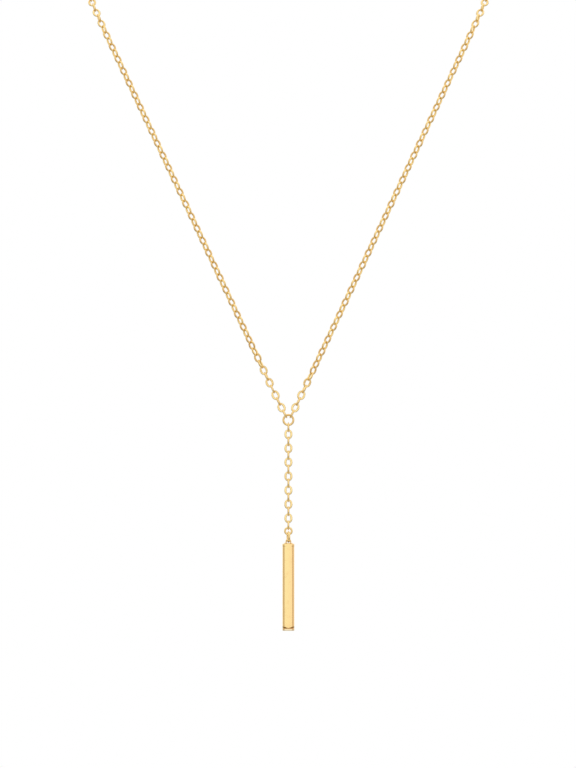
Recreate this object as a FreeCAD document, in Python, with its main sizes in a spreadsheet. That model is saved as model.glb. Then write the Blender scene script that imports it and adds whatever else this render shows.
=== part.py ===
# A Y necklace: two side chains, a Y ring, a drop chain and a square bar pendant.
# Millimetres. X is to the right of somebody facing the necklace, Y points to its back and Z up.
# The origin is the nape, where the clasp sits. The Y ring hangs in front of it and below.
import FreeCAD, Part
import math
import os

import Sketcher
from FreeCAD import Placement, Rotation, Vector

doc = FreeCAD.newDocument("y_necklace")

# The driving dimensions, in millimetres and degrees
SIZES = {
    # where the Y ring hangs, from the nape
    "ring_forward": 92.0,
    "ring_below": 143.0,
    # rings and links: a bend is the radius of a wire's centre line, a wire its own radius
    "y_ring_bend": 1.15,
    "y_ring_wire": 0.25,
    "link_bend": 0.73,
    "link_wire": 0.18,
    "link_straight": 0.516,
    "link_pitch": 1.6155,
    "drop_links": 15.0,
    "chain_radius": 0.91,
    "drop_ring_bend": 0.78,
    "drop_ring_wire": 0.23,
    "bar_ring_bend": 1.068,
    "bar_ring_wire": 0.25,
    "bar_ring_turn": 10.5,
    # the play between hooked wires, and between a chain's tube and its end link
    "play": 0.02,
    "chain_gap": 0.1,
    # how the side chains' end links open out from the Y ring and lean back
    "side_angle": 31.0,
    "side_lean": 10.0,
    # the bar, its end plates, the turned bevel above the lower one and the loop on top
    "bar_height": 20.0,
    "bar_width": 2.75,
    "bar_round": 0.65,
    "plate_width": 2.8,
    "plate_thick": 0.5,
    "plate_round": 0.68,
    "plate_edge": 0.12,
    "bevel_root": 1.2,
    "bevel_out": 2.2,
    "boss_radius": 1.0,
    "boss_height": 0.2,
    "loop_bend": 0.52,
    "loop_wire": 0.16,
    "loop_rise": 0.5,
    "loop_play": 0.03,
    "recess_radius": 0.85,
    "recess_depth": 0.2,
    "recess_rise": 0.25,
    # the clasp and its catch ring
    "clasp_bend": 2.2,
    "clasp_wire": 0.5,
    "barrel_wire": 0.62,
    "barrel_turn": 110.0,
    "tab_bend": 0.7,
    "tab_wire": 0.22,
    "tab_solder": 0.25,
    "knob_radius": 0.3,
    "knob_height": 0.95,
    "catch_bend": 1.35,
    "catch_wire": 0.25,
}

sheet = doc.addObject("Spreadsheet::Sheet", "Sizes")
for row, (alias, number) in enumerate(SIZES.items(), start=1):
    sheet.set(f"A{row}", alias)
    sheet.set(f"B{row}", str(number))
    sheet.setAlias(f"B{row}", alias)
doc.recompute()


def size(alias):
    """The number in the sheet's cell of that name."""
    return float(sheet.get(alias))


def bind(thing, **cells):
    """Ties each named property of an object to an expression on the sheet's cells."""
    for name, expression in cells.items():
        thing.setExpression(name, expression)


# The route of a side chain, from beside the Y ring to the clasp, for the right side.
# The first run is the straight side of the Y. It leans back and opens out, and the rest goes
# over the shoulder and round the neck. The left side is its mirror image.
SIDE_ROUTE = [
    (1.59, -91.685, -140.45),
    (47.77, -72.08, -41.95),
    (54.5, -48.0, -24.5),
    (53.0, -28.5, -12.5),
    (40.0, -11.0, -4.5),
    (20.0, -1.5, -1.0),
]

# At each corner of a route, the share of its shorter run that the arc takes up
ARC_SHARE = 0.45

# The turn that stands a flat ring up, so that it faces the front
FACING = Rotation(Vector(1, 0, 0), 90)

RIGHTWARD = Vector(1, 0, 0)
BACKWARD = Vector(0, 1, 0)
UPWARD = Vector(0, 0, 1)

RING_MIDDLE = Vector(0, -size("ring_forward"), -size("ring_below"))
HALF_LINK = size("link_straight") / 2 + size("link_bend") + size("link_wire")


def reach(wire):
    """From the middle of a ring's wire to the middle of the link that hangs on it."""
    return HALF_LINK - 2 * size("link_wire") - size("play") - wire


def ring(label, bend, wire, placement):
    """A closed ring of round wire; bend and wire are the cells of its two radii."""
    torus = doc.addObject("Part::Torus", label)
    torus.Label = label
    bind(torus, Radius1=f"Sizes.{bend}", Radius2=f"Sizes.{wire}")
    torus.Placement = placement


def oval_link(label, middle, along, wide):
    """One link, two half turns and two straight sides, with its length and its width laid out."""
    pieces = []
    for end, sign in (("top", 1), ("bottom", -1)):
        bend = doc.addObject("Part::Torus", f"{label}_{end}")
        bind(bend, Radius1="Sizes.link_bend", Radius2="Sizes.link_wire")
        bend.Angle3 = 180
        half_turn = FACING if sign > 0 else Rotation(BACKWARD, 180) * FACING
        bend.Placement = Placement(UPWARD * (sign * size("link_straight") / 2), half_turn)
        pieces.append(bend)
    for side, sign in (("right", 1), ("left", -1)):
        straight = doc.addObject("Part::Cylinder", f"{label}_{side}")
        bind(straight, Radius="Sizes.link_wire", Height="Sizes.link_straight")
        straight.Placement.Base = Vector(sign * size("link_bend"), 0, -size("link_straight") / 2)
        pieces.append(straight)
    link = doc.addObject("Part::MultiFuse", label)
    link.Label = label
    link.Shapes = pieces
    link.Placement = Placement(middle, Rotation(wide, Vector(), along, "ZXY"))


def rounded_path(points):
    """Straight runs joined by tangent arcs, as edges, and the radii of the arcs."""
    edges = []
    radii = []
    start = points[0]
    for before, corner, after in zip(points, points[1:], points[2:]):
        into = (corner - before).normalize()
        out = (after - corner).normalize()
        half_turn = into.getAngle(out) / 2
        cut = ARC_SHARE * min((corner - before).Length, (after - corner).Length)
        radius = cut / math.tan(half_turn)
        first = corner - into * cut
        last = corner + out * cut
        inward = (out - into).normalize()
        middle = corner + inward * (radius * (1 / math.cos(half_turn) - 1))
        edges.append(Part.LineSegment(start, first).toShape())
        edges.append(Part.Arc(first, middle, last).toShape())
        radii.append(radius)
        start = last
    edges.append(Part.LineSegment(start, points[-1]).toShape())
    return edges, radii


def chain_tube(label, points):
    """A tube of the chain's width along a route, which stands for its links.

    Gives back its length.
    """
    edges, radii = rounded_path(points)
    path = doc.addObject("Part::Feature", f"{label}_path")
    path.Shape = Part.Wire(edges)
    section = doc.addObject("Part::Circle", f"{label}_section")
    bind(section, Radius="Sizes.chain_radius")
    along = (points[1] - points[0]).normalize()
    section.Placement = Placement(points[0], Rotation(UPWARD, along))
    tube = doc.addObject("Part::Sweep", label)
    tube.Label = label
    tube.Sections = [section]
    tube.Spine = (path, [f"Edge{number}" for number in range(1, len(edges) + 1)])
    tube.Solid = True
    tube.Frenet = False
    doc.recompute()
    length = path.Shape.Length
    expected = math.pi * size("chain_radius") ** 2 * length
    share = tube.Shape.Volume / expected
    print(f"{label}: {length:.1f} mm long, its volume is {share:.4f} of section times length")
    print(f"  arc radii {[round(radius, 1) for radius in radii]}")
    return length


def plane_of(body, role):
    """One of a body's own origin planes, by its role."""
    return next(item for item in body.Origin.OriginFeatures if item.Role == role)


def new_sketch(body, name, role, height=None):
    """A sketch on a body's own plane, raised along the plane's normal by an expression."""
    sketch = body.newObject("Sketcher::SketchObject", name)
    sketch.AttachmentSupport = (plane_of(body, role), [""])
    sketch.MapMode = "FlatFace"
    if height:
        sketch.setExpression("AttachmentOffset.Base.z", height)
    return sketch


def closed_outline(sketch, corners):
    """Straight lines round a list of corners, joined end to end."""
    count = len(corners)
    for here, there in zip(corners, corners[1:] + corners[:1]):
        sketch.addGeometry(Part.LineSegment(here, there))
    for line in range(count):
        sketch.addConstraint(Sketcher.Constraint("Coincident", line, 2, (line + 1) % count, 1))


def sized(sketch, way, ends, expression):
    """A distance between two points of a sketch, tied to an expression on the cells."""
    place = sketch.addConstraint(Sketcher.Constraint(way, *ends, 1.0))
    sketch.setExpression(f"Constraints[{place}]", expression)


def square_outline(sketch, width):
    """A square about the sketch's origin, whose side is an expression."""
    half = 0.5
    closed_outline(
        sketch,
        [Vector(-half, -half), Vector(half, -half), Vector(half, half), Vector(-half, half)],
    )
    for line, way in ((0, "Horizontal"), (1, "Vertical"), (2, "Horizontal"), (3, "Vertical")):
        sketch.addConstraint(Sketcher.Constraint(way, line))
    sized(sketch, "DistanceX", (0, 1, 0, 2), width)
    sized(sketch, "DistanceY", (1, 1, 1, 2), width)
    sketch.addConstraint(Sketcher.Constraint("Symmetric", 0, 1, 1, 2, -1, 1))


def padded_square(body, name, width, thickness, height=None):
    """A square block on the body's axis, whose sizes are expressions."""
    sketch = new_sketch(body, f"{name}_outline", "XY_Plane", height)
    square_outline(sketch, width)
    pad = body.newObject("PartDesign::Pad", name)
    pad.Profile = sketch
    pad.setExpression("Length", thickness)
    doc.recompute()


def rounded_edges(body, name, radius, wanted):
    """A fillet on the edges of the body's tip that a test picks out."""
    tip = body.Tip
    names = [
        f"Edge{number}"
        for number, edge in enumerate(tip.Shape.Edges, start=1)
        if wanted(edge)
    ]
    fillet = body.newObject("PartDesign::Fillet", name)
    fillet.Base = (tip, names)
    fillet.setExpression("Radius", radius)
    doc.recompute()


# Two places or lengths are taken as the same when they differ by less than this
SAME = 1e-4


def upright_at(half_width):
    """Picks straight upright edges at the four corners of a square."""
    def wanted(edge):
        box = edge.BoundBox
        middle = edge.CenterOfMass
        across = max(abs(abs(middle.x) - half_width), abs(abs(middle.y) - half_width))
        return across < SAME and max(box.XLength, box.YLength) < SAME
    return wanted


def level_rim(height, least_reach):
    """Picks level edges at one height that lie at least so far from the axis."""
    def wanted(edge):
        box = edge.BoundBox
        level = box.ZLength < SAME and abs(box.ZMin - height) < SAME
        reach_out = max(abs(box.XMin), abs(box.XMax), abs(box.YMin), abs(box.YMax))
        return level and reach_out > least_reach
    return wanted


def turned_bevel(body, name):
    """A bevel turned about the bar's axis, above the lower plate, which it leaves as a ledge."""
    root = size("bevel_root")
    out = size("bevel_out")
    ledge = size("plate_thick")
    sketch = new_sketch(body, f"{name}_outline", "XZ_Plane")
    closed_outline(sketch, [Vector(root, ledge), Vector(out, ledge), Vector(out, ledge + out - root)])
    sketch.addConstraint(Sketcher.Constraint("Horizontal", 0))
    sketch.addConstraint(Sketcher.Constraint("Vertical", 1))
    sized(sketch, "DistanceX", (-1, 1, 0, 1), "Sizes.bevel_root")
    sized(sketch, "DistanceX", (-1, 1, 0, 2), "Sizes.bevel_out")
    sized(sketch, "DistanceY", (-1, 1, 0, 1), "Sizes.plate_thick")
    sized(sketch, "DistanceY", (1, 1, 1, 2), "Sizes.bevel_out - Sizes.bevel_root")
    doc.recompute()
    before = body.Shape.Volume
    groove = body.newObject("PartDesign::Groove", name)
    groove.Profile = sketch
    groove.ReferenceAxis = (sketch, ["V_Axis"])
    groove.Angle = 360
    doc.recompute()
    print(f"{name} takes {before - groove.Shape.Volume:.3f} cubic mm")


def round_piece(body, name, kind, radius, height, placement):
    """A cylinder added to a body or cut from it, tied to two expressions."""
    piece = body.newObject(f"PartDesign::{kind}Cylinder", name)
    bind(piece, Radius=radius, Height=height)
    piece.Placement = placement
    doc.recompute()


def torus_piece(body, name, bend, wire, turn, placement):
    """A torus, or part of one, added to a body."""
    piece = body.newObject("PartDesign::AdditiveTorus", name)
    bind(piece, Radius1=bend, Radius2=wire, Angle3=turn)
    piece.Placement = placement
    doc.recompute()


def bar_pendant(label, lower_end):
    """The bar, its end plates and its loop: one soldered piece, upright, z = 0 at its lower end."""
    body = doc.addObject("PartDesign::Body", label)
    body.Label = label
    half_bar = size("bar_width") / 2
    half_plate = size("plate_width") / 2
    height = size("bar_height")
    padded_square(body, "shaft", "Sizes.bar_width", "Sizes.bar_height")
    rounded_edges(body, "shaft_edges", "Sizes.bar_round", upright_at(half_bar))
    turned_bevel(body, "lower_bevel")
    raised = "Sizes.bar_height - Sizes.plate_thick"
    padded_square(body, "lower_plate", "Sizes.plate_width", "Sizes.plate_thick")
    padded_square(body, "upper_plate", "Sizes.plate_width", "Sizes.plate_thick", raised)
    rounded_edges(body, "plate_corners", "Sizes.plate_round", upright_at(half_plate))
    rounded_edges(body, "lower_rim", "Sizes.plate_edge", level_rim(0, half_bar))
    rounded_edges(body, "upper_rim", "Sizes.plate_edge", level_rim(height, half_bar))

    top = Vector(0, 0, height)
    boss = Placement(top, Rotation())
    round_piece(body, "boss", "Additive", "Sizes.boss_radius", "Sizes.boss_height", boss)
    for name, sign in (("front_recess", -1), ("back_recess", 1)):
        outside = top + Vector(0, sign * half_plate, size("recess_rise"))
        inward = Placement(outside, Rotation(UPWARD, BACKWARD * -sign))
        depth = "Sizes.recess_depth"
        round_piece(body, name, "Subtractive", "Sizes.recess_radius", depth, inward)
    for name, sign in (("right_leg", 1), ("left_leg", -1)):
        foot = Placement(top + RIGHTWARD * (sign * size("loop_bend")), Rotation())
        round_piece(body, name, "Additive", "Sizes.loop_wire", "Sizes.loop_rise", foot)
    bend = Placement(top + UPWARD * size("loop_rise"), FACING)
    torus_piece(body, "loop", "Sizes.loop_bend", "Sizes.loop_wire", "180", bend)
    body.Placement.Base = lower_end


def tab_offset():
    """From the middle of the clasp to the middle of its tab, which is soldered to its barrel."""
    outside = size("clasp_bend") + size("barrel_wire")
    return outside + size("tab_bend") + size("tab_wire") - size("tab_solder")


def clasp(label, middle):
    """A plain closed spring ring: a ring with a thicker barrel, a knob and a tab to its right."""
    body = doc.addObject("PartDesign::Body", label)
    body.Label = label
    upright = Placement(Vector(), FACING)
    torus_piece(body, "clasp_ring", "Sizes.clasp_bend", "Sizes.clasp_wire", "360", upright)
    barrel = Placement(Vector(), Rotation(BACKWARD, size("barrel_turn") / 2) * FACING)
    turn = "Sizes.barrel_turn"
    torus_piece(body, "barrel", "Sizes.clasp_bend", "Sizes.barrel_wire", turn, barrel)
    knob = Placement(UPWARD * size("clasp_bend"), Rotation())
    round_piece(body, "knob", "Additive", "Sizes.knob_radius", "Sizes.knob_height", knob)
    tab = Placement(RIGHTWARD * tab_offset(), FACING)
    torus_piece(body, "tab", "Sizes.tab_bend", "Sizes.tab_wire", "360", tab)
    body.Placement.Base = middle


def nape_pieces():
    """The clasp and its catch ring, side by side at the nape, and the two links beside them.

    Gives back how far from the nape each side chain ends.
    """
    tab_wire = tab_offset() + size("tab_bend")
    right_link = tab_wire + reach(size("tab_wire"))
    inside = size("clasp_bend") - size("clasp_wire") - size("play") - size("catch_wire")
    catch_middle = -inside - size("catch_bend")
    left_link = catch_middle - size("catch_bend") - reach(size("catch_wire"))
    shift = -(right_link + left_link) / 2
    clasp("clasp", RIGHTWARD * shift)
    level = Placement(RIGHTWARD * (catch_middle + shift), Rotation())
    ring("catch_ring", "catch_bend", "catch_wire", level)
    oval_link("end_link_clasp_right", RIGHTWARD * (right_link + shift), RIGHTWARD, BACKWARD)
    oval_link("end_link_clasp_left", RIGHTWARD * (left_link + shift), RIGHTWARD, UPWARD)
    return right_link + shift + HALF_LINK + size("chain_gap")


def side_chain(label, link_label, sign, nape_end):
    """One side: the link through the Y ring, and the tube from beside it to the clasp.

    Gives back the length from the Y ring's middle to the nape.
    """
    points = [Vector(sign * x, y, z) for x, y, z in SIDE_ROUTE]
    points.append(Vector(sign * nape_end, 0, 0))
    length = chain_tube(label, points)
    angle = math.radians(size("side_angle"))
    lean = math.radians(size("side_lean"))
    outward = Vector(sign * math.sin(angle), 0, math.cos(angle))
    along = outward * math.cos(lean) + BACKWARD * math.sin(lean)
    wire = RING_MIDDLE + outward * size("y_ring_bend")
    oval_link(link_label, wire + along * reach(size("y_ring_wire")), along, BACKWARD)
    return (points[0] - RING_MIDDLE).Length + length + nape_end


def drop_chain():
    """The drop chain's first link, the tube for its other links and the small ring at its end.

    Gives back the middle of that ring.
    """
    first = RING_MIDDLE - UPWARD * (size("y_ring_bend") + reach(size("y_ring_wire")))
    last = first - UPWARD * (size("link_pitch") * (size("drop_links") - 1))
    middle = last - UPWARD * (reach(size("drop_ring_wire")) + size("drop_ring_bend"))
    oval_link("end_link_drop", first, UPWARD, BACKWARD)
    ring("drop_ring", "drop_ring_bend", "drop_ring_wire", Placement(middle, FACING))
    foot = middle + UPWARD * (size("drop_ring_bend") + size("drop_ring_wire") + size("chain_gap"))
    tube = doc.addObject("Part::Cylinder", "chain_drop")
    tube.Label = "chain_drop"
    span = "Sizes.link_pitch * (Sizes.drop_links - 1)"
    ends = "2 * (Sizes.link_wire + Sizes.drop_ring_wire + Sizes.chain_gap) + Sizes.play"
    bind(tube, Radius="Sizes.chain_radius", Height=f"{span} - ({ends})")
    tube.Placement.Base = foot
    return middle


SUBPARTS = [
    "chain_left",
    "chain_right",
    "chain_drop",
    "y_ring",
    "end_link_left",
    "end_link_right",
    "end_link_drop",
    "end_link_clasp_left",
    "end_link_clasp_right",
    "drop_ring",
    "bar_ring",
    "bar_pendant",
    "clasp",
    "catch_ring",
]

nape_end = nape_pieces()
loop_length = side_chain("chain_right", "end_link_right", 1, nape_end)
loop_length += side_chain("chain_left", "end_link_left", -1, nape_end)
print(f"the loop is {loop_length:.0f} mm long")
ring("y_ring", "y_ring_bend", "y_ring_wire", Placement(RING_MIDDLE, FACING))
drop_ring_middle = drop_chain()

# The bar ring hangs in the small ring at the drop chain's end, and the bar's loop on the bar ring
ring_pivot = drop_ring_middle - UPWARD * size("drop_ring_bend")
hook = size("drop_ring_wire") + size("play") + size("bar_ring_wire")
bar_ring_middle = ring_pivot + UPWARD * (hook - size("bar_ring_bend"))
bar_ring_turn = Rotation(UPWARD, size("bar_ring_turn")) * Rotation(BACKWARD, 90)
ring("bar_ring", "bar_ring_bend", "bar_ring_wire", Placement(bar_ring_middle, bar_ring_turn))
loop_pivot = bar_ring_middle - UPWARD * size("bar_ring_bend")
bar_top = loop_pivot - UPWARD * (size("loop_play") + size("loop_rise"))
bar_pendant("bar_pendant", bar_top - UPWARD * size("bar_height"))
doc.recompute()

for item in doc.Objects:
    if "Invalid" in item.State or "Error" in item.State:
        raise RuntimeError(f"{item.Name} did not build: {item.State}")

print(f"the bar ring swings about {ring_pivot}, the bar about {loop_pivot}")
os.makedirs("parts", exist_ok=True)
for label in SUBPARTS:
    shape = doc.getObjectsByLabel(label)[0].Shape
    if shape.isNull() or not shape.isValid():
        raise RuntimeError(f"{label} has no valid shape")
    shape.exportStep(f"parts/{label}.step")
    print(f"{label}: {len(shape.Solids)} solid, {shape.Volume:.3f} cubic mm")
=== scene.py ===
# A gold Y necklace: two side chains, a jump ring where they meet, a drop chain and a square bar.
# Metres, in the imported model's frame: X is to the right of somebody who faces the necklace,
# Y points to its back and Z up. The origin is the nape, where the clasp sits.
import math

import bmesh
import bpy
from mathutils import Matrix, Vector


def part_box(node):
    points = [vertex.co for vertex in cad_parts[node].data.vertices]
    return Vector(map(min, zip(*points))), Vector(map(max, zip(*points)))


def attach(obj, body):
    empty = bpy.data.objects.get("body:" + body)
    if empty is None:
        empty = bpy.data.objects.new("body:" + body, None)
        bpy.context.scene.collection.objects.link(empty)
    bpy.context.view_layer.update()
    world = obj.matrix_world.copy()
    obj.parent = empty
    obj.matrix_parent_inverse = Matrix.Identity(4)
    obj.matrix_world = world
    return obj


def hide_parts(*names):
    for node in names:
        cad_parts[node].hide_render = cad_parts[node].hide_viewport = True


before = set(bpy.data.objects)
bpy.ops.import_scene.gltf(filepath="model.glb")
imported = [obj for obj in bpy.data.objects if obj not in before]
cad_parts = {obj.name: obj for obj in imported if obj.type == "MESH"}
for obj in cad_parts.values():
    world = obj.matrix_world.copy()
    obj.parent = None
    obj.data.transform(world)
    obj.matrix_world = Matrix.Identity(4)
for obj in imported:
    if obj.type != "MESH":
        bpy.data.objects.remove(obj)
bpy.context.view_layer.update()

MM = 0.001
RIGHTWARD = Vector((1, 0, 0))
BACKWARD = Vector((0, 1, 0))
UPWARD = Vector((0, 0, 1))


def middle_of(node):
    """The middle of a CAD node's box."""
    low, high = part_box(node)
    return (low + high) / 2


Y_RING = middle_of("y_ring")

# The camera looks level, from 70 cm in front of the Y ring, and a photo pixel is 0.231 mm there
CAMERA_DISTANCE = 0.7
PIXEL = 0.231 * MM
PHOTO_HEIGHT = 768
AIM_RIGHT = -0.4 * PIXEL
AIM_UP = 36 * PIXEL
SENSOR = 36


def photo_camera():
    camera = bpy.data.objects.new("photo_camera", bpy.data.cameras.new("photo_camera"))
    camera.data.sensor_width = SENSOR
    camera.data.lens = SENSOR * CAMERA_DISTANCE / (PHOTO_HEIGHT * PIXEL)
    camera.data.clip_start = 0.05
    camera.location = Y_RING + Vector((AIM_RIGHT, -CAMERA_DISTANCE, AIM_UP))
    camera.rotation_euler = (math.radians(90), 0, 0)
    bpy.context.collection.objects.link(camera)
    bpy.context.scene.camera = camera


photo_camera()
bpy.context.scene.view_settings.view_transform = "Standard"


class Value:
    """A node's output, which sums and products can use. Each one adds a Math node to its tree."""

    def __init__(self, nodes, socket):
        self.nodes = nodes
        self.socket = socket

    def __getitem__(self, name):
        """Another output of the same node."""
        outputs = self.socket.node.outputs
        return Value(self.nodes, next(s for s in outputs if s.enabled and s.name == name))

    def __add__(self, other):
        return self.nodes.math("ADD", self, other)

    def __sub__(self, other):
        return self.nodes.math("SUBTRACT", self, other)

    def __rsub__(self, other):
        return self.nodes.math("SUBTRACT", other, self)

    def __mul__(self, other):
        return self.nodes.math("MULTIPLY", self, other)

    def __truediv__(self, other):
        return self.nodes.math("DIVIDE", self, other)

    def __abs__(self):
        return self.nodes.math("ABSOLUTE", self)

    __radd__ = __add__
    __rmul__ = __mul__


class Nodes:
    """Adds nodes to a tree."""

    def __init__(self, tree):
        self.tree = tree
        self.tree.nodes.clear()

    def add(self, kind, settings=None, sockets=None):
        """A node with its settings made first, then the values or links of its sockets.

        Gives back the first output that it uses.
        """
        node = self.tree.nodes.new(kind)
        for name, setting in (settings or {}).items():
            if name == "stops":
                self.set_stops(node.color_ramp, setting)
            else:
                setattr(node, name, setting)
        for name, value in (sockets or {}).items():
            if isinstance(name, int):
                socket = node.inputs[name]
            else:
                socket = next(s for s in node.inputs if s.enabled and s.name == name)
            if isinstance(value, Value):
                self.tree.links.new(value.socket, socket)
            else:
                socket.default_value = value
        outputs = [socket for socket in node.outputs if socket.enabled]
        return Value(self, outputs[0]) if outputs else None

    @staticmethod
    def set_stops(ramp, stops):
        """Grey stops of a ramp, as (place, brightness)."""
        while len(ramp.elements) < len(stops):
            ramp.elements.new(1)
        for element, (place, grey) in zip(ramp.elements, stops):
            element.position = place
            element.color = (grey, grey, grey, 1)

    def math(self, operation, *values):
        sockets = dict(enumerate(values))
        return self.add("ShaderNodeMath", {"operation": operation}, sockets)

    def vector_math(self, operation, *values):
        sockets = dict(enumerate(values))
        return self.add("ShaderNodeVectorMath", {"operation": operation}, sockets)

    def eased(self, value, start, end):
        """0 before start, 1 after end, and a smooth rise between them."""
        settings = {"interpolation_type": "SMOOTHSTEP"}
        sockets = {"Value": value, "From Min": start, "From Max": end}
        return self.add("ShaderNodeMapRange", settings, sockets)

    def blended(self, share, first, second):
        """A colour between two colours."""
        settings = {"data_type": "RGBA"}
        return self.add("ShaderNodeMix", settings, {"Factor": share, "A": first, "B": second})


# Light

WHITE = (1, 1, 1, 1)
WARM_SHADE = (1.0, 0.82, 0.74, 1)

# Brightness from in front, 0, round either side to behind, 1
ROUND_LIGHT = [(0, 1.1), (0.1, 1.08), (0.2, 0.7), (0.36, 0.57), (0.46, 0.62), (0.57, 0.97), (1, 1)]

# Brightness from straight below, 0, to straight above, 1
HEIGHT_LIGHT = [(0, 0.6), (0.3, 0.52), (0.42, 0.8), (0.47, 1.0), (0.7, 1.0), (1, 1.1)]
RIGHT_EXTRA = 0.12


def studio_light():
    """Soft light from in front, above and behind, dimmer to the left, right and below.

    The camera sees plain white behind the necklace.
    """
    world = bpy.data.worlds.new("studio")
    bpy.context.scene.world = world
    world.use_nodes = True
    nodes = Nodes(world.node_tree)
    direction = nodes.add("ShaderNodeTexCoord")["Generated"]
    parts = nodes.add("ShaderNodeSeparateXYZ", None, {"Vector": direction})
    across, back, up = parts["X"], parts["Y"], parts["Z"]
    turn = nodes.math("ARCTAN2", abs(across), 0 - back) / math.pi
    walls = nodes.add("ShaderNodeValToRGB", {"stops": ROUND_LIGHT}, {"Fac": turn})
    height = up * 0.5 + 0.5
    level = nodes.add("ShaderNodeValToRGB", {"stops": HEIGHT_LIGHT}, {"Fac": height})
    flatness = 1 - nodes.eased(abs(up), 0.5, 0.95)
    sides = 1 - flatness * (1 - walls)
    seen = nodes.add("ShaderNodeLightPath")["Is Camera Ray"]
    from_right = 1 + nodes.eased(across, 0.5, 0.85) * RIGHT_EXTRA
    brightness = seen + (1 - seen) * sides * level * from_right
    whiteness = seen + (1 - seen) * nodes.eased(sides, 0.55, 1.05)
    tint = nodes.blended(whiteness, WARM_SHADE, WHITE)
    light = nodes.add("ShaderNodeBackground", None, {"Color": tint, "Strength": brightness})
    nodes.add("ShaderNodeOutputWorld", None, {"Surface": light})


studio_light()


# Finishes

GOLD = (1.0, 0.776, 0.352, 1)
GOLD_DEEP = (0.93, 0.66, 0.27, 1)
# A redder gold, painted on the bar's right side as a warm reflection
GOLD_PAINTED_REFLECTION = (1.0, 0.7, 0.33, 1)
# Dark brown painted shade for the bar's lower bevel, its upper seam's corners and the bar ring's
# lowest point
PAINTED_SHADE_BROWN = (0.3, 0.22, 0.1, 1)
# A deep orange gold, painted as shade on the Y ring's top
GOLD_PAINTED_SHADE = (0.78, 0.46, 0.13, 1)
PLATE_GOLD = (0.86, 0.74, 0.5, 1)

# The bar's end plates, and the bevel turned above the lower one at 45 degrees
BAR_HEIGHT = 20.0 * MM
PLATE_THICK = 0.5 * MM
BEVEL_ROOT = 1.2 * MM
BEVEL_RISE = 0.6 * MM
BEVEL_SKIN = 0.012 * MM
SEAM_WIDTH = 0.12 * MM


def bar_shade(nodes, place, colour):
    """The bar's gold, redder to one side as a painted warm reflection and paler on its lower plate.

    Painted shade darkens its lower bevel and the corners of its upper seam, which are also rougher.
    """
    middle = middle_of("bar_pendant")
    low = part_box("bar_pendant")[0]
    parts = nodes.add("ShaderNodeSeparateXYZ", None, {"Vector": place})
    across = parts["X"] - middle.x
    back = parts["Y"] - middle.y
    radius = nodes.math("SQRT", across * across + back * back)
    rise = parts["Z"] - (low.z + PLATE_THICK)
    # Painted shade in the lower bevel, strongest towards the ends of the faces and lighter at the
    # corners
    off_bevel = abs(rise + BEVEL_ROOT - radius)
    on_bevel = nodes.math("LESS_THAN", off_bevel, BEVEL_SKIN)
    on_bevel = on_bevel * nodes.math("LESS_THAN", abs(rise - BEVEL_RISE / 2), BEVEL_RISE / 2)
    near_face_end = nodes.eased(radius, 1.3 * MM, 1.48 * MM)
    at_corner = nodes.eased(radius, 1.57 * MM, 1.66 * MM)
    dull_and_painted_shade = on_bevel * (0.35 + near_face_end * 0.65) * (1 - at_corner * 0.6)
    # Painted shade in the corners of the upper seam
    upper_seam = low.z + BAR_HEIGHT - PLATE_THICK
    seam = 1 - nodes.eased(abs(parts["Z"] - upper_seam), 0, SEAM_WIDTH)
    dull_and_painted_shade = dull_and_painted_shade + seam * nodes.eased(radius, 1.45 * MM, 1.6 * MM) * 0.5
    # Painted warm reflection: the bar's gold turns redder towards the right
    redder = nodes.eased(across, -1.3 * MM, 1.3 * MM)
    colour = nodes.blended(redder * 0.8, colour, GOLD_PAINTED_REFLECTION)
    on_plate = 1 - nodes.eased(rise, -0.04 * MM, 0)
    colour = nodes.blended(on_plate * 0.7, colour, PLATE_GOLD)
    return nodes.blended(dull_and_painted_shade, colour, PAINTED_SHADE_BROWN), dull_and_painted_shade


def link_shade(nodes, place, colour):
    """A chain's gold, a little deeper and duller in some links than in others."""
    tone = nodes.add("ShaderNodeAttribute", {"attribute_name": "link_tone"})["Fac"]
    return nodes.blended(tone * 0.4, colour, GOLD_DEEP), tone * 0.25


def bar_ring_shade(nodes, place, colour):
    """The bar ring's gold, darkened with painted shade and rougher at its lowest point, where the
    bar's loop hangs on it.
    """
    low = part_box("bar_ring")[0]
    height = nodes.add("ShaderNodeSeparateXYZ", None, {"Vector": place})["Z"]
    # Painted shade at the ring's lowest point
    painted_shade_mask = 1 - nodes.eased(height, low.z + 0.2 * MM, low.z + 0.55 * MM)
    return nodes.blended(painted_shade_mask * 0.8, colour, PAINTED_SHADE_BROWN), painted_shade_mask


def y_ring_shade(nodes, place, colour):
    """The Y ring's deeper gold, darkened with painted shade and a little rougher at its top, where
    the side chains cross it.
    """
    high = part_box("y_ring")[1]
    height = nodes.add("ShaderNodeSeparateXYZ", None, {"Vector": place})["Z"]
    # Painted shade at the ring's top, where the side chains cross it
    painted_shade_mask = nodes.eased(height, high.z - 0.9 * MM, high.z - 0.2 * MM)
    colour = nodes.blended(0.7, colour, GOLD_DEEP)
    return nodes.blended(painted_shade_mask * 0.65, colour, GOLD_PAINTED_SHADE), painted_shade_mask * 0.3


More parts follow.
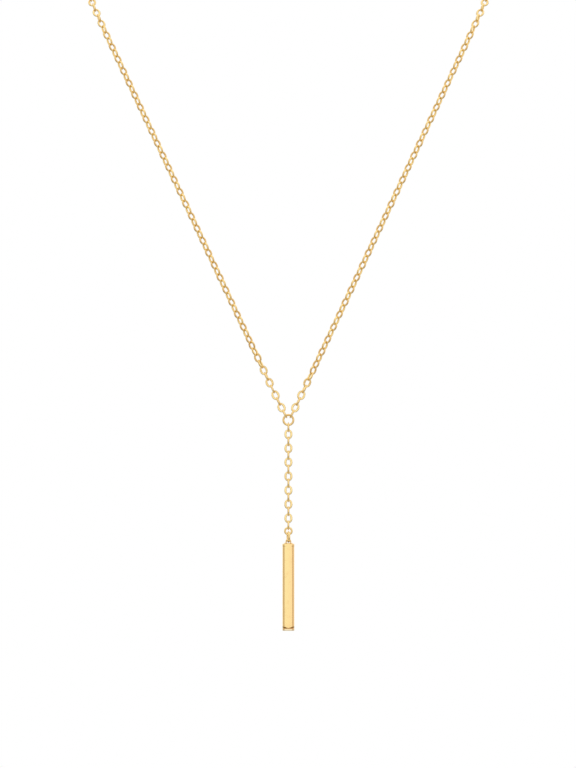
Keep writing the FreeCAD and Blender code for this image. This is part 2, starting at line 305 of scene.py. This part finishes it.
def polished_gold(name, roughness, line_direction, line_scale, depth, shade=None):
    """Polished gold with fine buffing lines and slightly uneven colour.

    A shade function changes the colour from place to place, some of it painted shade and a painted
    warm reflection, and says where the gold is rougher.
    """
    material = bpy.data.materials.new(name)
    material.use_nodes = True
    nodes = Nodes(material.node_tree)
    place = nodes.add("ShaderNodeTexCoord")["Object"]
    stretched = nodes.vector_math("MULTIPLY", place, line_direction)
    lines = nodes.add(
        "ShaderNodeTexNoise",
        None,
        {"Vector": stretched, "Scale": line_scale, "Detail": 3.0, "Roughness": 0.6},
    )
    clouds = nodes.add(
        "ShaderNodeTexNoise",
        None,
        {"Vector": place, "Scale": 900.0, "Detail": 2.0, "Roughness": 0.5},
    )
    patchy = nodes.eased(clouds, 0.45, 0.75)
    colour = nodes.blended(patchy * 0.35, GOLD, GOLD_DEEP)
    dull_and_painted_shade = 0
    if shade:
        colour, dull_and_painted_shade = shade(nodes, place, colour)
    bump = nodes.add(
        "ShaderNodeBump",
        None,
        {"Strength": 0.25, "Distance": depth, "Height": lines},
    )
    shader = nodes.add(
        "ShaderNodeBsdfPrincipled",
        None,
        {
            "Base Color": colour,
            "Metallic": 1.0,
            "Roughness": roughness + (lines - 0.5) * 0.08 + patchy * 0.05 + dull_and_painted_shade * 0.2,
            "Normal": bump,
        },
    )
    nodes.add("ShaderNodeOutputMaterial", None, {"Surface": shader})
    return material


SCRATCHES = (1, 1, 1)
BAR_LINES = (1, 1, 0.05)
DEPTH = 0.004 * MM
CHAIN_GOLD = polished_gold("chain_gold", 0.24, SCRATCHES, 9000.0, DEPTH, link_shade)
RING_GOLD = polished_gold("ring_gold", 0.14, SCRATCHES, 9000.0, DEPTH)
Y_RING_GOLD = polished_gold("y_ring_gold", 0.16, SCRATCHES, 9000.0, DEPTH, y_ring_shade)
BAR_RING_GOLD = polished_gold("bar_ring_gold", 0.14, SCRATCHES, 9000.0, DEPTH, bar_ring_shade)
BAR_GOLD = polished_gold("bar_gold", 0.18, BAR_LINES, 12000.0, 0.003 * MM, bar_shade)
CLASP_GOLD = polished_gold("clasp_gold", 0.16, SCRATCHES, 9000.0, DEPTH)


# Chains

LINK_LENGTH = 2.336 * MM
LINK_PITCH = 1.6155 * MM
DROP_LINKS = 15
QUARTER_TURN = math.radians(90)


def new_tree(name, inputs):
    """A Geometry Nodes tree with named inputs, as name: (kind, default). Gives their values too."""
    tree = bpy.data.node_groups.new(name, "GeometryNodeTree")
    for label, (kind, default) in inputs.items():
        socket = tree.interface.new_socket(label, in_out="INPUT", socket_type=f"NodeSocket{kind}")
        if default is not None:
            socket.default_value = default
    tree.interface.new_socket("Geometry", in_out="OUTPUT", socket_type="NodeSocketGeometry")
    nodes = Nodes(tree)
    entry = nodes.add("NodeGroupInput")
    return tree, nodes, {label: entry[label] for label in inputs}


def link_shape(nodes, given):
    """One oval link of flattened wire, its length along Y and its width along X."""
    side_width = given["Wire width"] * (1 + given["Side fullness"])
    bend = (given["Link width"] - side_width) / 2
    stretch = (given["Link length"] - given["Wire width"]) / (bend * 2) - 1
    circle = nodes.add("GeometryNodeCurvePrimitiveCircle", None, {"Resolution": 16, "Radius": bend})
    place = nodes.add("GeometryNodeInputPosition")
    parts = nodes.add("ShaderNodeSeparateXYZ", None, {"Vector": place})
    shift = nodes.add("ShaderNodeCombineXYZ", None, {"Y": parts["Y"] * stretch})
    oval = nodes.add("GeometryNodeSetPosition", None, {"Geometry": circle, "Offset": shift})
    fuller = 1 + given["Side fullness"] * nodes.eased(abs(parts["X"]) / bend, 0.2, 1.0)
    section = nodes.add("GeometryNodeCurvePrimitiveCircle", None, {"Resolution": 6, "Radius": 1.0})
    flat = given["Wire thickness"] / (2 * math.sin(math.radians(60)))
    squash = nodes.add("ShaderNodeCombineXYZ", None, {"X": given["Wire width"] / 2, "Y": flat})
    section = nodes.add(
        "GeometryNodeTransform", None, {"Geometry": section, "Scale": squash}
    )
    link = nodes.add(
        "GeometryNodeCurveToMesh",
        None,
        {"Curve": oval, "Profile Curve": section, "Scale": fuller},
    )
    on_flat = nodes.math("GREATER_THAN", abs(parts["Z"]), given["Wire thickness"] * 0.49)
    return nodes.add(
        "GeometryNodeSetShadeSmooth",
        {"domain": "EDGE"},
        {"Geometry": link, "Selection": on_flat, "Shade Smooth": False},
    )


def chain_tree():
    """Oval links along a curve, each a quarter turn round from the one before it."""
    tree, nodes, given = new_tree(
        "oval_links",
        {
            "Route": ("Geometry", None),
            "Links": ("Int", 16),
            "Link length": ("Float", LINK_LENGTH),
            "Link width": ("Float", 1.9 * MM),
            "Wire width": ("Float", 0.36 * MM),
            "Wire thickness": ("Float", 0.28 * MM),
            "Side fullness": ("Float", 0.5),
            "Upright": ("Vector", (0, 0, 1)),
            "First roll": ("Float", 0.0),
            "Side roll": ("Float", 0.0),
            "Last roll": ("Float", 0.0),
            "Side starts": ("Float", 1.0),
            "Side settled": ("Float", 2.0),
            "Side ends": ("Float", 1e3),
            "Last starts": ("Float", 2e3),
            "Looseness": ("Float", 0.0),
            "Seed": ("Int", 1),
            "Finish": ("Material", None),
        },
    )
    number = nodes.add("GeometryNodeInputIndex")
    points = nodes.add(
        "GeometryNodeResampleCurve",
        {"mode": "COUNT"},
        {"Curve": given["Route"], "Count": given["Links"]},
    )
    along = nodes.add("GeometryNodeInputTangent")
    sideways = nodes.vector_math("CROSS_PRODUCT", along, given["Upright"])
    level = nodes.add(
        "FunctionNodeAxesToRotation",
        {"primary_axis": "Y", "secondary_axis": "X"},
        {"Primary Axis": along, "Secondary Axis": sideways},
    )
    to_side = nodes.eased(number, given["Side starts"], given["Side settled"])
    to_last = nodes.eased(number, given["Side ends"], given["Last starts"])
    roll = given["First roll"] + (given["Side roll"] - given["First roll"]) * to_side
    roll = roll + (given["Last roll"] - given["Side roll"]) * to_last
    wobble = nodes.add(
        "FunctionNodeRandomValue", None, {2: -1.0, 3: 1.0, "ID": number, "Seed": given["Seed"]}
    )
    free = nodes.eased(number, 0, 3) * nodes.eased(given["Links"] - 1 - number, 0, 3)
    roll = roll + number * QUARTER_TURN + wobble * given["Looseness"] * free
    turn = nodes.add("FunctionNodeAxisAngleToRotation", None, {"Axis": (0, 1, 0), "Angle": roll})
    turned = nodes.add(
        "FunctionNodeRotateRotation",
        {"rotation_space": "LOCAL"},
        {"Rotation": level, "Rotate By": turn},
    )
    links = nodes.add(
        "GeometryNodeInstanceOnPoints",
        None,
        {"Points": points, "Instance": link_shape(nodes, given), "Rotation": turned},
    )
    tone = nodes.add(
        "FunctionNodeRandomValue", None, {2: 0.0, 3: 1.0, "Seed": given["Seed"] + 1}
    )
    links = nodes.add(
        "GeometryNodeStoreNamedAttribute",
        {"data_type": "FLOAT", "domain": "INSTANCE"},
        {"Geometry": links, "Name": "link_tone", "Value": tone},
    )
    links = nodes.add("GeometryNodeRealizeInstances", None, {"Geometry": links})
    links = nodes.add(
        "GeometryNodeSetMaterial", None, {"Geometry": links, "Material": given["Finish"]}
    )
    nodes.add("NodeGroupOutput", None, {"Geometry": links})
    return tree


def route_curve(name, points):
    """A smooth curve along a route's points."""
    curve = bpy.data.curves.new(name, "CURVE")
    curve.dimensions = "3D"
    curve.resolution_u = 48
    spline = curve.splines.new("NURBS")
    spline.points.add(len(points) - 1)
    for point, place in zip(spline.points, points):
        point.co = (*place, 1)
    spline.order_u = min(3, len(points))
    spline.use_endpoint_u = True
    route = bpy.data.objects.new(name, curve)
    bpy.context.collection.objects.link(route)
    return route


def route_length(route):
    """The length of a curve."""
    line = bpy.data.meshes.new_from_object(route)
    places = [vertex.co for vertex in line.vertices]
    length = sum((there - here).length for here, there in zip(places, places[1:]))
    bpy.data.meshes.remove(line)
    return length


def links_along(name, route, tree, **settings):
    """The links of a route as one mesh, made by the tree with its inputs set by name."""
    maker = route.modifiers.new("links", "NODES")
    maker.node_group = tree
    for socket in tree.interface.items_tree:
        label = socket.name.replace(" ", "_").lower()
        if socket.in_out == "INPUT" and label in settings:
            maker[socket.identifier] = settings[label]
    view = bpy.context.evaluated_depsgraph_get()
    mesh = bpy.data.meshes.new_from_object(route.evaluated_get(view), depsgraph=view)
    route.modifiers.clear()
    bpy.data.objects.remove(route)
    mesh.name = name
    chain = bpy.data.objects.new(name, mesh)
    bpy.context.collection.objects.link(chain)
    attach(chain, "necklace")
    return chain


def roll_to(wide, along, upright):
    """How far a link has to roll for its width to lie in a direction."""
    side = along.cross(upright).normalized()
    square = side.cross(along.normalized())
    return math.atan2(-wide.dot(square), wide.dot(side))


# The route of the right side chain beyond its first link, in millimetres. The straight side of
# the Y leans back and opens out. The rest goes over the shoulder and round the neck.
SIDE_ROUTE = [
    (1.59, -91.685, -140.45),
    (37.26, -76.54, -64.38),
    (47.77, -72.08, -41.95),
    (54.5, -48.0, -24.5),
    (53.0, -28.5, -12.5),
    (40.0, -11.0, -4.5),
    (20.0, -1.5, -1.0),
]
FIRST_LINK_TURN = math.radians(31)
FIRST_LINK_LEAN = math.radians(10)
NAPE_STRAIGHT = 1.3 * MM
LINKS = chain_tree()


def nearest_turn(roll, target):
    """The roll nearest to a target that looks the same, for a link looks the same half round."""
    return roll + math.pi * round((target - roll) / math.pi)


def side_chain(name, sign, side_roll, side_starts, side_settled, last_wide, seed):
    """A whole side chain, from the link in the Y ring to the link at the nape."""
    side = "right" if sign > 0 else "left"
    first = middle_of(f"end_link_{side}")
    last = middle_of(f"end_link_clasp_{side}")
    outward = Vector((sign * math.sin(FIRST_LINK_TURN), 0, math.cos(FIRST_LINK_TURN)))
    up_side = outward * math.cos(FIRST_LINK_LEAN) + BACKWARD * math.sin(FIRST_LINK_LEAN)
    run = [Vector((sign * x, y, z)) * MM for x, y, z in SIDE_ROUTE]
    nape = last + RIGHTWARD * (sign * NAPE_STRAIGHT)
    route = route_curve(f"{name}_route", [first, *run, nape, last])
    count = round(route_length(route) / LINK_PITCH) + 1
    straight = (run[1] - run[0]).normalized()
    facing = straight.cross(BACKWARD).normalized()
    first_roll = roll_to(BACKWARD, up_side, UPWARD)
    facing_roll = nearest_turn(roll_to(facing, straight, UPWARD) + QUARTER_TURN, first_roll)
    settled = facing_roll + math.radians(side_roll)
    turns = QUARTER_TURN * (count - 1)
    last_roll = roll_to(last_wide, last - nape, UPWARD) - turns
    last_roll = nearest_turn(last_roll, settled)
    return links_along(
        name,
        route,
        LINKS,
        links=count,
        first_roll=first_roll,
        side_roll=settled,
        last_roll=last_roll,
        side_starts=side_starts,
        side_settled=side_settled,
        side_ends=60.0,
        last_starts=110.0,
        looseness=math.radians(3),
        seed=seed,
        finish=CHAIN_GOLD,
    )


right = side_chain("side_chain_right", 1, 52, 2.5, 10.0, BACKWARD, 3)
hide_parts("chain_right", "end_link_right", "end_link_clasp_right")
left = side_chain("side_chain_left", -1, -52, 4.5, 14.0, UPWARD, 7)
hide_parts("chain_left", "end_link_left", "end_link_clasp_left")


def drop_chain():
    """The links that hang from the Y ring down to the small ring above the bar's ring."""
    first = middle_of("end_link_drop")
    last = first - UPWARD * (LINK_PITCH * (DROP_LINKS - 1))
    route = route_curve("drop_route", [first, last])
    return links_along(
        "drop_chain",
        route,
        LINKS,
        links=DROP_LINKS,
        upright=BACKWARD,
        first_roll=QUARTER_TURN,
        side_roll=QUARTER_TURN,
        looseness=math.radians(3),
        seed=11,
        finish=CHAIN_GOLD,
    )


drop = drop_chain()
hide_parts("chain_drop", "end_link_drop")

FINISHES = {
    "y_ring": Y_RING_GOLD,
    "drop_ring": RING_GOLD,
    "bar_ring": BAR_RING_GOLD,
    "bar_pendant": BAR_GOLD,
    "clasp": CLASP_GOLD,
    "catch_ring": RING_GOLD,
}
for node, finish in FINISHES.items():
    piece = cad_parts[node]
    piece.data.materials.clear()
    piece.data.materials.append(finish)


# Floor


FLOOR_MIDDLE = Vector((0, -0.048, -0.262))
FLOOR_RADIUS = 0.4


def pale_floor():
    """A round pale floor under the necklace, which fades into the white behind it."""
    mesh = bpy.data.meshes.new("floor")
    shape = bmesh.new()
    bmesh.ops.create_circle(shape, cap_ends=True, segments=96, radius=FLOOR_RADIUS)
    shape.to_mesh(mesh)
    shape.free()
    mesh.transform(Matrix.Translation(FLOOR_MIDDLE))
    floor = bpy.data.objects.new("floor", mesh)
    bpy.context.collection.objects.link(floor)
    material = bpy.data.materials.new("pale_floor")
    material.use_nodes = True
    nodes = Nodes(material.node_tree)
    place = nodes.add("ShaderNodeTexCoord")["Object"]
    centred = nodes.add(
        "ShaderNodeMapping",
        {"vector_type": "POINT"},
        {"Vector": place, "Location": -FLOOR_MIDDLE},
    )
    distance = nodes.vector_math("LENGTH", centred)["Value"]
    fade = nodes.eased(distance, 0.05, 0.17)
    pale = nodes.add("ShaderNodeBsdfDiffuse", None, {"Color": (0.9, 0.89, 0.87, 1)})
    white = nodes.add("ShaderNodeEmission", None, {"Color": WHITE, "Strength": 1.0})
    mixed = nodes.add("ShaderNodeMixShader", None, {0: fade, 1: pale, 2: white})
    nodes.add("ShaderNodeOutputMaterial", None, {"Surface": mixed})
    mesh.materials.append(material)
    floor.visible_glossy = False
    floor.visible_diffuse = False


pale_floor()

bpy.context.view_layer.update()
